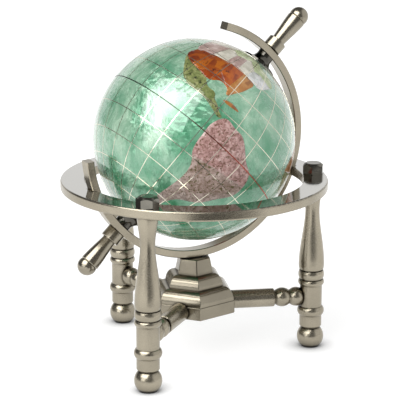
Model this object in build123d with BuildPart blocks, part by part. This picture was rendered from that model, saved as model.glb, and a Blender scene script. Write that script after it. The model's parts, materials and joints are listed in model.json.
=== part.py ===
"""Desktop globe on a three-legged stand, in millimetres.

The origin is on the floor, on the stand's centre line. +Z is up, and +X points to the side that
the upper pole leans to, so the meridian arc lies in the XZ plane. Angles on the floor run
anticlockwise from +X. Angles in the meridian plane run from straight up towards +X.
"""

import os
from math import cos, radians, sin, sqrt

from build123d import *

# Globe
GLOBE_R = 75.0
GLOBE_Z = 166.5
STONE_THICKNESS = 2.0
CORE_WALL = 3.0
POLE_LEAN = 46.0
BUSHING_R = 5.0
BUSHING_LENGTH = 10.0

# Meridian arc: a strip between two radii, from one end angle to the other
ARC_INNER_R = 84.3
ARC_OUTER_R = 90.1
ARC_WIDTH = 10.0
ARC_START = 16.5
ARC_END = 265.5
ARC_EDGE = 0.5

# Pieces on the pole axis, by their distance from the globe's centre
PIN_R = 2.0
PIN_START = 66.0
PIN_END = 112.0
CONE_GAP = 0.4
CONE_RIM_R = 14.4
CONE_RIM_THICKNESS = 1.2
CONE_NECK_R = 6.4
CONE_TOP = 84.0
COLLAR_R = 7.2
COLLAR_END = 98.3
GRIP_NECK_R = 5.1
GRIP_R = 7.2
GRIP_GROOVE_R = 6.6
GRIP_TIP = 130.6

# Horizon ring
RING_INNER_R = 81.9
RING_OUTER_R = 100.0
RING_BOTTOM = 130.5
RING_TOP = 137.6
RING_EDGE = 1.3
NOTCH_REACH = 86.2
NOTCH_GAP = 0.3

# Legs: one axis each, with the pieces stacked by height on a tie rod
LEG_CIRCLE_R = 91.0
LEG_ANGLES = {"left": -139.0, "right": -19.0, "back": 101.0}
PAD_THICKNESS = 1.0
PAD_R = 6.8
FOOT_R = 10.25
FOOT_CENTRE_Z = 8.0
FOOT_NECK_R = 6.9
FOOT_TOP = 16.2
POST_R = 8.5
POST_TOP = 49.6
POST_BEAD_R = 10.3
SPINDLE_FOOT_R = 9.75
SPINDLE_NECK_R = 5.6
SPINDLE_TOP_R = 7.9
ROD_R = 3.0
ROD_START = 5.0
ROD_END = 143.5
RING_NUT_FLATS = 14.6
RING_NUT_HEIGHT = 8.0
RING_NUT_TURNS = {"left": 18.0, "right": -19.0, "back": 8.0}

# Stretchers, from the pedestal to the leg posts
ARM_Z = 40.2
ARM_R = 7.05
ARM_BEAD_R = 7.35
ARM_NECK_R = 5.5
ARM_PLAIN_END = 62.0
ARM_END = 84.0
STUD_R = 2.5
STUD_START = 9.0
STUD_END = 87.5

# Pedestal: hexagons by height, sized by half their width across flats
SLAB_BOTTOM = 34.7
SLAB_TOP = 44.5
SLAB_HALF = 28.6
LOWER_TIER_HALF = 28.1
LOWER_TIER_TOP = 55.0
LOWER_TIER_TOP_HALF = 20.8
UPPER_TIER_TOP = 64.5
UPPER_TIER_HALF = 20.3
UPPER_TIER_TOP_HALF = 13.9
CAP_TOP = 76.1
CAP_HALF = 13.4
CAP_TOP_HALF = 11.2
CORNER_ROUND = 1.2
HIP_ROUND = 0.7
BOLT_R = 3.0
BOLT_TOP = 71.0
BOLT_HEAD_R = 5.5
BOLT_HEAD_HEIGHT = 4.0
SADDLE_PAD_SIZE = (14.0, 9.0, 1.2)

# Room around a rod or pin in its hole, and between nested pieces
FIT = 0.05

os.makedirs("parts", exist_ok=True)


def save(piece, name):
    """Label a finished piece and write it as its own STEP file."""
    piece.part.label = name
    export_step(piece.part, f"parts/{name}.step")


def upright(angle, radius=0.0, height=0.0):
    """A vertical plane with its X pointing outwards at an angle on the floor, and its Y up."""
    c, s = cos(radians(angle)), sin(radians(angle))
    return Plane(origin=(radius * c, radius * s, height), x_dir=(c, s, 0), z_dir=(s, -c, 0))


def level(angle, radius, height):
    """A level plane with its X pointing outwards at an angle on the floor."""
    c, s = cos(radians(angle)), sin(radians(angle))
    return Plane(origin=(radius * c, radius * s, height), x_dir=(c, s, 0), z_dir=(0, 0, 1))


def outward(angle, radius, height):
    """A vertical plane that faces outwards at an angle on the floor."""
    c, s = cos(radians(angle)), sin(radians(angle))
    return Plane(origin=(radius * c, radius * s, height), x_dir=(-s, c, 0), z_dir=(c, s, 0))


# ---------------------------------------------------------------- horizon ring

with BuildPart() as horizon_ring:
    with BuildSketch(Plane.XY.offset(RING_BOTTOM)):
        Circle(RING_OUTER_R)
        Circle(RING_INNER_R, mode=Mode.SUBTRACT)
    extrude(amount=RING_TOP - RING_BOTTOM)
    rims = horizon_ring.edges().filter_by(GeomType.CIRCLE).sort_by(SortBy.RADIUS)
    fillet(rims[-2:], radius=RING_EDGE)
    chamfer(rims[:2], length=RING_EDGE / 3)
    with BuildSketch(Plane.XY.offset(RING_BOTTOM)):
        Rectangle(2 * NOTCH_REACH, ARC_WIDTH + 2 * NOTCH_GAP)
    extrude(amount=RING_TOP - RING_BOTTOM, mode=Mode.SUBTRACT)
    for angle in LEG_ANGLES.values():
        with BuildSketch(level(angle, LEG_CIRCLE_R, RING_BOTTOM)):
            Circle(ROD_R + FIT)
        extrude(amount=RING_TOP - RING_BOTTOM, mode=Mode.SUBTRACT)
save(horizon_ring, "horizon_ring")

# ---------------------------------------------------------------- legs

for side, angle in LEG_ANGLES.items():
    lathe = upright(angle, LEG_CIRCLE_R)
    leg_axis = Axis(lathe.origin, (0, 0, 1))
    bore_r = ROD_R + FIT

    with BuildPart() as foot_pad:
        with BuildSketch(level(angle, LEG_CIRCLE_R, 0)):
            Circle(PAD_R)
        extrude(amount=PAD_THICKNESS)
    save(foot_pad, f"foot_pad_{side}")

    with BuildPart() as ball_foot:
        flat_r = sqrt(FOOT_R**2 - (FOOT_CENTRE_Z - PAD_THICKNESS) ** 2)
        neck_z = FOOT_CENTRE_Z + sqrt(FOOT_R**2 - FOOT_NECK_R**2)
        with BuildSketch(lathe):
            with BuildLine():
                ThreePointArc((flat_r, PAD_THICKNESS), (FOOT_R, FOOT_CENTRE_Z), (FOOT_NECK_R, neck_z))
                Polyline(
                    (FOOT_NECK_R, neck_z),
                    (FOOT_NECK_R, FOOT_TOP),
                    (bore_r, FOOT_TOP),
                    (bore_r, ROD_START),
                    (0, ROD_START),
                    (0, PAD_THICKNESS),
                    (flat_r, PAD_THICKNESS),
                )
            make_face()
        revolve(axis=leg_axis)
    save(ball_foot, f"ball_foot_{side}")

    with BuildPart() as leg_post:
        with BuildSketch(lathe):
            with BuildLine():
                Polyline((bore_r, FOOT_TOP), (POST_R - 0.7, FOOT_TOP), (POST_R, 17.0), (POST_R, 25.4))
                Line((POST_R, 25.4), (POST_R + 0.5, 25.7))
                ThreePointArc((POST_R + 0.5, 25.7), (POST_BEAD_R, 29.0), (POST_R + 0.5, 32.3))
                Line((POST_R + 0.5, 32.3), (POST_R, 32.6))
                Polyline((POST_R, 32.6), (POST_R, POST_TOP), (bore_r, POST_TOP), (bore_r, FOOT_TOP))
            make_face()
        revolve(axis=leg_axis)
        with BuildSketch(outward(angle, LEG_CIRCLE_R - POST_R - 1, ARM_Z)):
            Circle(STUD_R + FIT)
        extrude(amount=POST_R, mode=Mode.SUBTRACT)
    save(leg_post, f"leg_post_{side}")

    with BuildPart() as leg_spindle:
        with BuildSketch(lathe):
            with BuildLine():
                Polyline((bore_r, POST_TOP), (POST_R + 0.4, POST_TOP), (POST_R + 0.7, 50.0))
                ThreePointArc((POST_R + 0.7, 50.0), (10.0, 52.0), (POST_R + 0.7, 54.0))
                Polyline((POST_R + 0.7, 54.0), (8.5, 54.3), (8.5, 54.7), (POST_R + 0.7, 55.0))
                ThreePointArc((POST_R + 0.7, 55.0), (9.9, 58.1), (POST_R + 0.7, 61.2))
                Polyline((POST_R + 0.7, 61.2), (8.4, 61.5), (8.4, 62.0), (POST_R + 0.8, 62.4))
                ThreePointArc((POST_R + 0.8, 62.4), (9.7, 64.6), (SPINDLE_FOOT_R, 67.0))
                Spline(
                    (SPINDLE_FOOT_R, 67.0),
                    (7.2, 91.0),
                    (SPINDLE_NECK_R, 113.0),
                    (7.0, 123.5),
                    (SPINDLE_TOP_R, RING_BOTTOM),
                )
                Polyline((SPINDLE_TOP_R, RING_BOTTOM), (bore_r, RING_BOTTOM), (bore_r, POST_TOP))
            make_face()
        revolve(axis=leg_axis)
    save(leg_spindle, f"leg_spindle_{side}")

    with BuildPart() as tie_rod:
        with BuildSketch(level(angle, LEG_CIRCLE_R, ROD_START)):
            Circle(ROD_R)
        extrude(amount=ROD_END - ROD_START)
    save(tie_rod, f"tie_rod_{side}")

    with BuildPart() as ring_nut:
        nut_top = RING_TOP + RING_NUT_HEIGHT
        with BuildSketch(level(angle, LEG_CIRCLE_R, RING_TOP)):
            RegularPolygon(RING_NUT_FLATS / 2, 6, major_radius=False, rotation=30 + RING_NUT_TURNS[side])
        extrude(amount=RING_NUT_HEIGHT)
        with BuildSketch(lathe):
            with BuildLine():
                Polyline(
                    (bore_r, RING_TOP),
                    (7.9, RING_TOP),
                    (8.5, RING_TOP + 0.6),
                    (8.5, nut_top - 2.2),
                    (6.2, nut_top - 0.4),
                    (5.6, nut_top),
                    (0, nut_top),
                    (0, ROD_END + FIT),
                    (bore_r, ROD_END + FIT),
                    (bore_r, RING_TOP),
                )
            make_face()
        revolve(axis=leg_axis, mode=Mode.INTERSECT)
    save(ring_nut, f"ring_nut_{side}")

# ---------------------------------------------------------------- stretchers

for side, angle in LEG_ANGLES.items():
    lathe = upright(angle, 0, ARM_Z)
    arm_axis = Axis(lathe.origin, lathe.x_dir)
    bore_r = STUD_R + FIT

    with BuildPart() as stretcher:
        with BuildSketch(lathe):
            with BuildLine():
                Polyline(
                    (SLAB_HALF, bore_r),
                    (SLAB_HALF, ARM_R - 0.5),
                    (SLAB_HALF + 0.5, ARM_R),
                    (ARM_PLAIN_END - 0.6, ARM_R),
                    (ARM_PLAIN_END, ARM_R - 0.6),
                    (ARM_PLAIN_END, ARM_NECK_R),
                    (63.0, ARM_NECK_R),
                )
                ThreePointArc((63.0, ARM_NECK_R), (68.4, ARM_BEAD_R), (73.7, ARM_NECK_R))
                Line((73.7, ARM_NECK_R), (74.2, ARM_NECK_R))
                ThreePointArc((74.2, ARM_NECK_R), (79.1, ARM_BEAD_R), (ARM_END, ARM_NECK_R))
                Polyline((ARM_END, ARM_NECK_R), (ARM_END, bore_r), (SLAB_HALF, bore_r))
            make_face()
        revolve(axis=arm_axis)
        with BuildSketch(level(angle, LEG_CIRCLE_R, ARM_Z - ARM_BEAD_R - 1)):
            Circle(POST_R)
        extrude(amount=2 * ARM_BEAD_R + 2, mode=Mode.SUBTRACT)
    save(stretcher, f"stretcher_{side}")

    with BuildPart() as stretcher_stud:
        with BuildSketch(outward(angle, STUD_START, ARM_Z)):
            Circle(STUD_R)
        extrude(amount=STUD_END - STUD_START)
    save(stretcher_stud, f"stretcher_stud_{side}")

# ---------------------------------------------------------------- pedestal

FACE_ANGLES = list(LEG_ANGLES.values())


def tier_outline(bottom, top, half, top_half):
    """The side view of a tier: a flat base and top, with quarter-round sides that bulge outwards."""
    with BuildSketch(mode=Mode.PRIVATE) as outline:
        with BuildLine():
            for way, start in ((1, 0), (-1, 90)):
                EllipticalCenterArc(
                    (way * top_half, bottom), half - top_half, top - bottom, start_angle=start, arc_size=90
                )
            Line((top_half, top), (-top_half, top))
            Line((-half, bottom), (half, bottom))
        make_face()
    return outline.sketch


with BuildPart() as pedestal_slab:
    with BuildSketch(level(FACE_ANGLES[0], 0, SLAB_BOTTOM)):
        RegularPolygon(SLAB_HALF, 6, major_radius=False, rotation=30)
    extrude(amount=SLAB_TOP - SLAB_BOTTOM)
    fillet(pedestal_slab.edges().filter_by(Axis.Z), radius=CORNER_ROUND)
    fillet(pedestal_slab.edges().group_by(Axis.Z)[-1], radius=0.45)
    chamfer(pedestal_slab.edges().group_by(Axis.Z)[0], length=0.5)
    with BuildSketch(Plane.XY.offset(SLAB_BOTTOM)):
        Circle(BOLT_HEAD_R + 1.5)
    extrude(amount=BOLT_HEAD_HEIGHT + 1, mode=Mode.SUBTRACT)
    with BuildSketch(Plane.XY.offset(SLAB_BOTTOM)):
        Circle(BOLT_R + FIT)
    extrude(amount=SLAB_TOP - SLAB_BOTTOM, mode=Mode.SUBTRACT)
    for angle in FACE_ANGLES:
        with BuildSketch(outward(angle, STUD_START - 0.5, ARM_Z)):
            Circle(STUD_R + FIT)
        extrude(amount=SLAB_HALF, mode=Mode.SUBTRACT)
save(pedestal_slab, "pedestal_slab")

TIERS = {
    "pedestal_lower_tier": (SLAB_TOP, LOWER_TIER_TOP, LOWER_TIER_HALF, LOWER_TIER_TOP_HALF),
    "pedestal_upper_tier": (LOWER_TIER_TOP, UPPER_TIER_TOP, UPPER_TIER_HALF, UPPER_TIER_TOP_HALF),
}

for name, (bottom, top, half, top_half) in TIERS.items():
    with BuildPart() as tier:
        for index, angle in enumerate(FACE_ANGLES):
            with BuildSketch(upright(angle)):
                add(tier_outline(bottom, top, half, top_half))
            extrude(amount=2 * half, both=True, mode=Mode.INTERSECT if index else Mode.ADD)
        hips = tier.edges().filter_by(GeomType.LINE, reverse=True)
        fillet(hips, radius=HIP_ROUND)
        with BuildSketch(Plane.XY.offset(bottom)):
            Circle(BOLT_R + FIT)
        extrude(amount=top - bottom, mode=Mode.SUBTRACT)
    save(tier, name)

with BuildPart() as pedestal_cap:
    with BuildSketch(level(FACE_ANGLES[0], 0, UPPER_TIER_TOP)):
        RegularPolygon(CAP_HALF, 6, major_radius=False, rotation=30)
    with BuildSketch(level(FACE_ANGLES[0], 0, CAP_TOP)):
        RegularPolygon(CAP_TOP_HALF, 6, major_radius=False, rotation=30)
    loft()
    corners = pedestal_cap.edges().filter_by(lambda edge: abs(edge.tangent_at(0.5).Z) > 0.5)
    fillet(corners, radius=CORNER_ROUND)
    fillet(pedestal_cap.edges().group_by(Axis.Z)[-1], radius=0.9)
    with BuildSketch(Plane.XY.offset(UPPER_TIER_TOP)):
        Circle(BOLT_R + FIT)
    extrude(amount=BOLT_TOP + 0.5 - UPPER_TIER_TOP, mode=Mode.SUBTRACT)
    with BuildSketch(Plane.XY.offset(CAP_TOP - SADDLE_PAD_SIZE[2])):
        Rectangle(SADDLE_PAD_SIZE[0] + 2 * FIT, SADDLE_PAD_SIZE[1] + 2 * FIT)
    extrude(amount=SADDLE_PAD_SIZE[2], mode=Mode.SUBTRACT)
save(pedestal_cap, "pedestal_cap")

with BuildPart() as saddle_pad:
    with BuildSketch(Plane.XY.offset(CAP_TOP - SADDLE_PAD_SIZE[2])):
        Rectangle(SADDLE_PAD_SIZE[0], SADDLE_PAD_SIZE[1])
    extrude(amount=SADDLE_PAD_SIZE[2])
save(saddle_pad, "saddle_pad")

with BuildPart() as pedestal_bolt:
    with BuildSketch(Plane.XY.offset(SLAB_BOTTOM + 1)):
        RegularPolygon(BOLT_HEAD_R, 6)
    extrude(amount=BOLT_HEAD_HEIGHT)
    with BuildSketch(Plane.XY.offset(SLAB_BOTTOM + 1)):
        Circle(BOLT_R)
    extrude(amount=BOLT_TOP - SLAB_BOTTOM - 1)
save(pedestal_bolt, "pedestal_bolt")

# ---------------------------------------------------------------- meridian

CENTRE = (0, 0, GLOBE_Z)
meridian_plane = Plane(origin=CENTRE, x_dir=(1, 0, 0), z_dir=(0, -1, 0))


def pole_axis_plane(lean):
    """The plane across a pole axis at the globe's centre, facing the pole."""
    return Plane(origin=CENTRE, x_dir=(0, 1, 0), z_dir=(sin(radians(lean)), 0, cos(radians(lean))))


def pole_lathe(lean):
    """The meridian plane with its Y along a pole axis."""
    return Plane(origin=CENTRE, x_dir=(cos(radians(lean)), 0, -sin(radians(lean))), z_dir=(0, -1, 0))


POLES = {"upper": POLE_LEAN, "lower": POLE_LEAN + 180.0}

with BuildPart() as meridian_arc:
    with BuildSketch(meridian_plane):
        with BuildLine():
            outer = CenterArc((0, 0), ARC_OUTER_R, 90 - ARC_START, ARC_START - ARC_END)
            inner = CenterArc((0, 0), ARC_INNER_R, 90 - ARC_START, ARC_START - ARC_END)
            Line(outer @ 0, inner @ 0)
            Line(outer @ 1, inner @ 1)
        make_face()
    extrude(amount=ARC_WIDTH / 2, both=True)
    chamfer(meridian_arc.edges().filter_by(GeomType.CIRCLE), length=ARC_EDGE)
    for lean in POLES.values():
        with BuildSketch(pole_axis_plane(lean).offset(ARC_INNER_R - 2)):
            Circle(PIN_R + FIT)
        extrude(amount=ARC_OUTER_R - ARC_INNER_R + 4, mode=Mode.SUBTRACT)
save(meridian_arc, "meridian_arc")

for end, lean in POLES.items():
    lathe = pole_lathe(lean)
    pole_axis = Axis(CENTRE, lathe.y_dir)
    bore_r = PIN_R + FIT

    with BuildPart() as pole_pin:
        with BuildSketch(pole_axis_plane(lean).offset(PIN_START)):
            Circle(PIN_R)
        extrude(amount=PIN_END - PIN_START)
    save(pole_pin, f"pole_pin_{end}")

    with BuildPart() as pole_cone:
        under_r = GLOBE_R + CONE_GAP
        rim_start = sqrt(under_r**2 - CONE_RIM_R**2)
        rim_end = rim_start + CONE_RIM_THICKNESS
        with BuildSketch(lathe):
            with BuildLine():
                ThreePointArc(
                    (bore_r, sqrt(under_r**2 - bore_r**2)),
                    (CONE_RIM_R / 2, sqrt(under_r**2 - CONE_RIM_R**2 / 4)),
                    (CONE_RIM_R, rim_start),
                )
                Line((CONE_RIM_R, rim_start), (CONE_RIM_R, rim_end))
                ThreePointArc((CONE_RIM_R, rim_end), (8.6, 77.4), (CONE_NECK_R, 81.4))
                Polyline(
                    (CONE_NECK_R, 81.4),
                    (CONE_NECK_R, CONE_TOP),
                    (bore_r, CONE_TOP),
                    (bore_r, sqrt(under_r**2 - bore_r**2)),
                )
            make_face()
        revolve(axis=pole_axis)
    save(pole_cone, f"pole_cone_{end}")

    with BuildPart() as pole_collar:
        with BuildSketch(pole_axis_plane(lean).offset(ARC_OUTER_R)):
            Circle(COLLAR_R)
            Circle(bore_r, mode=Mode.SUBTRACT)
        extrude(amount=COLLAR_END - ARC_OUTER_R)
        rims = pole_collar.edges().filter_by(GeomType.CIRCLE).sort_by(SortBy.RADIUS)
        chamfer(rims[-2:], length=0.3)
    save(pole_collar, f"pole_collar_{end}")

    with BuildPart() as pole_grip:
        ball_centre = GRIP_TIP - GRIP_R
        ball_start = ball_centre - 1.8
        ball_start_r = sqrt(GRIP_R**2 - 1.8**2)
        with BuildSketch(lathe):
            with BuildLine():
                Line((bore_r, COLLAR_END), (GRIP_NECK_R, COLLAR_END))
                Spline((GRIP_NECK_R, COLLAR_END), (5.9, 106.0), (6.7, 113.0), (GRIP_R, ball_start - 1.2))
                Polyline((GRIP_R, ball_start - 1.2), (GRIP_GROOVE_R, ball_start - 0.5), (ball_start_r, ball_start))
                ThreePointArc(
                    (ball_start_r, ball_start),
                    (GRIP_R * cos(radians(40)), ball_centre + GRIP_R * sin(radians(40))),
                    (0, GRIP_TIP),
                )
                Polyline((0, GRIP_TIP), (0, PIN_END + 0.5), (bore_r, PIN_END + 0.5), (bore_r, COLLAR_END))
            make_face()
        revolve(axis=pole_axis)
    save(pole_grip, f"pole_grip_{end}")

# ---------------------------------------------------------------- globe

GLOBE_LAYERS = {
    "stone_skin": (GLOBE_R, GLOBE_R - STONE_THICKNESS),
    "globe_core": (GLOBE_R - STONE_THICKNESS - FIT, GLOBE_R - STONE_THICKNESS - FIT - CORE_WALL),
}

for name, (outer_r, inner_r) in GLOBE_LAYERS.items():
    with BuildPart() as globe_layer:
        hole_r = BUSHING_R + FIT
        with BuildSketch(pole_lathe(POLE_LEAN)):
            with BuildLine():
                ends = []
                for radius in (outer_r, inner_r):
                    tip = sqrt(radius**2 - hole_r**2)
                    ends.append(ThreePointArc((hole_r, -tip), (radius, 0), (hole_r, tip)))
                Line(ends[0] @ 0, ends[1] @ 0)
                Line(ends[0] @ 1, ends[1] @ 1)
            make_face()
        revolve(axis=Axis(CENTRE, pole_lathe(POLE_LEAN).y_dir))
    save(globe_layer, name)

for end, lean in POLES.items():
    with BuildPart() as pole_bushing:
        with BuildSketch(pole_axis_plane(lean).offset(GLOBE_R - BUSHING_LENGTH)):
            Circle(BUSHING_R)
            Circle(PIN_R + FIT, mode=Mode.SUBTRACT)
        extrude(amount=BUSHING_LENGTH - 0.2)
    save(pole_bushing, f"pole_bushing_{end}")
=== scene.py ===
"""Finishes, stone mosaic and studio for a desktop globe on a three-legged stand.

The metal pieces come from the frame and get their finishes here. The mosaic on the ball is built
here: an ocean of pearl shell, land of cut stones, and a net of thin metal wires.
"""

import json
from math import cos, pi, radians, sin

import bmesh
import bpy
from bpy.props import FloatProperty, FloatVectorProperty, IntProperty, PointerProperty
from mathutils import Matrix, Quaternion, Vector


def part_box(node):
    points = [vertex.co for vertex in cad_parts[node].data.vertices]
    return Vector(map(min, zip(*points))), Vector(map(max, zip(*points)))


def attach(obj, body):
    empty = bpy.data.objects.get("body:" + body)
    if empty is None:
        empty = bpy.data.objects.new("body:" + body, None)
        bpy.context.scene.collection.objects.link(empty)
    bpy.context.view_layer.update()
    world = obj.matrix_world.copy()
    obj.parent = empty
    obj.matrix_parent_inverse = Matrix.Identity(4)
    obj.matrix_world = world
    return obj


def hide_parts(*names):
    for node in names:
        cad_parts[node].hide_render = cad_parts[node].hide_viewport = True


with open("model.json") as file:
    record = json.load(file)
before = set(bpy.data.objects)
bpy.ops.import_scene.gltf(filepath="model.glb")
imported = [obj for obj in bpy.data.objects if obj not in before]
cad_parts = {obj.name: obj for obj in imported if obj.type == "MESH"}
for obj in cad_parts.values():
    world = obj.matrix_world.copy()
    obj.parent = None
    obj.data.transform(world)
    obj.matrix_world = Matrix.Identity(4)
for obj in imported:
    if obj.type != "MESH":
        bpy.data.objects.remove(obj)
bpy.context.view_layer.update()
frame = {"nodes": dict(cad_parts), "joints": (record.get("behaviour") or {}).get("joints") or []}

bl_info = {
    "name": "Desktop globe",
    "version": (1, 0, 0),
    "blender": (4, 5, 0),
    "location": "3D View > Sidebar > Globe",
    "description": "Builds the stone mosaic, metal finishes and studio of a desktop globe",
    "category": "Object",
}

MM = 0.001

# -------- measures from the frame

JOINTS = {joint["name"]: joint for joint in frame["joints"]}
BALL_LOW, BALL_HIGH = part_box("stone_skin")
BALL_CENTRE = (BALL_LOW + BALL_HIGH) / 2
BALL_RADIUS = (BALL_HIGH - BALL_LOW).y / 2
POLE_AXIS = Vector(JOINTS["globe_spin"]["axis"]).normalized()
RING_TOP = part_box("horizon_ring")[1].z
ARC_DEPTH = 5.8 * MM
ARC_INNER_RADIUS = BALL_CENTRE.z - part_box("meridian_arc")[0].z - ARC_DEPTH
SIDES = ("left", "right", "back")
ENDS = ("upper", "lower")

# The longitude that faces straight up in the meridian plane when the globe is at rest
TOP_LONGITUDE = -142.0

# How far a wire reaches below and above the ocean, and how near it comes to a pole in degrees
WIRE_BELOW = 0.3 * MM
WIRE_ABOVE = 0.09 * MM
POLE_CLEAR = 8
WIRE_STEPS = 144

# Degrees between the cuts that let a flat patch bend over the ball
BEND_STEP = 2.0

# -------- map outlines, (longitude, latitude)

LAND = {
    "united_states": [
        (-124, 32), (-123, 36), (-119, 38.5), (-112, 39.5), (-104, 41), (-96, 42.5), (-90, 43.5),
        (-84, 42.5), (-79, 41.5), (-74, 41), (-73.5, 38.5), (-75.5, 34), (-77.5, 29.5), (-80, 26),
        (-81.5, 23.5), (-83, 21), (-84.5, 22), (-85.5, 25), (-90, 26.5), (-93, 26), (-96, 23),
        (-99, 22), (-103, 23), (-109, 24), (-115, 25), (-120, 27), (-123, 29),
    ],
    "mexico": [
        (-123, 29), (-120, 27), (-115, 25), (-109, 24), (-103, 23), (-99, 22), (-97, 19.5),
        (-94, 18), (-91, 18.5), (-88.5, 17.5), (-87.5, 15), (-83, 13), (-80.5, 10.5), (-77, 9.5),
        (-79, 7.5), (-83, 9), (-89, 11), (-96, 12.5), (-104, 12.5), (-110, 14), (-116, 21), (-120, 25),
    ],
    "canada": [
        (-123, 36), (-119, 38.5), (-112, 39.5), (-104, 41), (-96, 42.5), (-90, 43.5), (-84, 42.5),
        (-79, 41.5), (-74, 41), (-69, 40), (-65, 43), (-61, 47), (-57, 51), (-60, 56), (-68, 60),
        (-76, 62), (-80, 66), (-95, 70), (-110, 70), (-128, 70), (-145, 70), (-156, 71), (-167, 68),
        (-164, 63), (-158, 58), (-150, 60), (-141, 58), (-134, 52), (-129, 45), (-126, 39),
    ],
    "greenland": [
        (-72, 78), (-60, 82), (-30, 83), (-18, 77), (-22, 70), (-38, 65), (-44, 60), (-52, 64), (-55, 70),
    ],
    "south_america": [
        (-77, 9), (-74, 11), (-68, 9.5), (-62, 9.5), (-58, 7), (-54, 3.5), (-50, 0), (-44, -2),
        (-41, -6), (-39.5, -12), (-40, -18), (-46, -26), (-50, -34), (-56, -38), (-63, -42),
        (-67, -50), (-67, -55), (-73, -54), (-75, -50), (-73.5, -41), (-72, -32), (-72, -25),
        (-74, -19.5), (-78, -15.5), (-79.5, -9), (-79.5, -4), (-80, 1), (-79, 5),
    ],
    "africa": [
        (-17, 15), (-16, 21), (-10, 30), (-6, 35.5), (10, 37), (12, 33), (20, 31), (32, 31), (34, 27),
        (37, 21), (43, 12), (51, 12), (46, 3), (40, -4), (40, -15), (35, -21), (35, -25), (32, -29),
        (26, -34), (19, -35), (15, -27), (12, -17), (13, -8), (9, 0), (9, 4), (4, 6), (-4, 5),
        (-9, 5), (-13, 9),
    ],
    "europe": [
        (-9, 37), (-9, 43), (-2, 44), (-1, 46), (-4, 48), (2, 51), (8, 54), (8, 57), (11, 54),
        (20, 55), (23, 59), (29, 60), (22, 60), (24, 65), (18, 62), (16, 57), (12, 59), (6, 58),
        (5, 62), (14, 68), (25, 71), (40, 67), (60, 69), (60, 50), (50, 45), (39, 44), (31, 46),
        (28, 41), (23, 37), (19, 42), (13, 45), (13, 43), (18, 40), (16, 38), (11, 43), (8, 44),
        (3, 43), (0, 39), (-2, 37), (-6, 36),
    ],
    "asia": [
        (60, 69), (75, 72), (100, 77), (115, 74), (140, 73), (160, 70), (180, 69), (190, 66),
        (179, 62), (170, 60), (163, 57), (157, 51), (155, 58), (143, 59), (135, 54), (141, 52),
        (138, 46), (131, 43), (128, 39), (129, 35), (126, 35), (125, 39), (121, 40), (118, 38),
        (122, 37), (119, 34), (122, 30), (118, 24), (110, 21), (106, 19), (109, 13), (105, 9),
        (101, 13), (104, 2), (101, 3), (98, 9), (98, 16), (92, 22), (87, 21), (80, 15), (77, 8),
        (73, 17), (70, 22), (66, 25), (57, 26), (50, 30), (48, 29), (52, 24), (59, 22), (55, 17),
        (45, 13), (42, 18), (35, 28), (36, 36), (27, 37), (28, 41), (39, 42), (39, 44), (50, 45), (60, 50),
    ],
    "australia": [
        (114, -22), (122, -18), (129, -15), (132, -11), (136, -12), (136, -15), (140, -17),
        (142, -11), (146, -19), (153, -26), (151, -33), (147, -38), (140, -38), (136, -35),
        (131, -32), (124, -33), (115, -34),
    ],
    "antarctica": [
        (-180, -78), (-180, -89), (180, -89), (180, -78), (170, -77), (160, -70), (130, -66),
        (100, -66), (70, -68), (40, -69), (10, -70), (-15, -72), (-40, -78), (-60, -75), (-58, -64),
        (-64, -66), (-75, -73), (-100, -73), (-120, -74), (-150, -77),
    ],
    "cuba": [(-84, 17.5), (-80, 19.5), (-75, 19.5), (-71, 18), (-75, 17.5), (-80, 17)],
    "madagascar": [(44, -16), (50, -15.5), (48, -25), (44, -22)],
    "britain": [(-5, 50), (1, 51), (0, 54), (-3, 58), (-6, 56), (-4, 53)],
    "iceland": [(-24, 65), (-15, 64), (-14, 66), (-22, 66.5)],
    "japan": [
        (130, 32), (136, 34), (141, 36), (142, 40), (145, 43), (141, 45), (140, 41), (136, 37), (131, 34),
    ],
    "sumatra": [(95, 5), (104, -1), (107, -6), (114, -7), (114, -8.5), (105, -7), (101, -3)],
    "borneo": [(109, 1), (113, 4), (117, 7), (119, 4), (116, -3), (110, -2)],
    "philippines": [(120, 18), (122, 18), (124, 12), (126, 7), (122, 9), (121, 13)],
    "new_guinea": [(131, -1), (138, -2), (147, -6), (150, -10), (143, -9), (138, -8), (133, -4)],
    "new_zealand": [(173, -35), (178, -38), (175, -41), (172, -44), (168, -46.5), (167, -45), (173, -40)],
}

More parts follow.
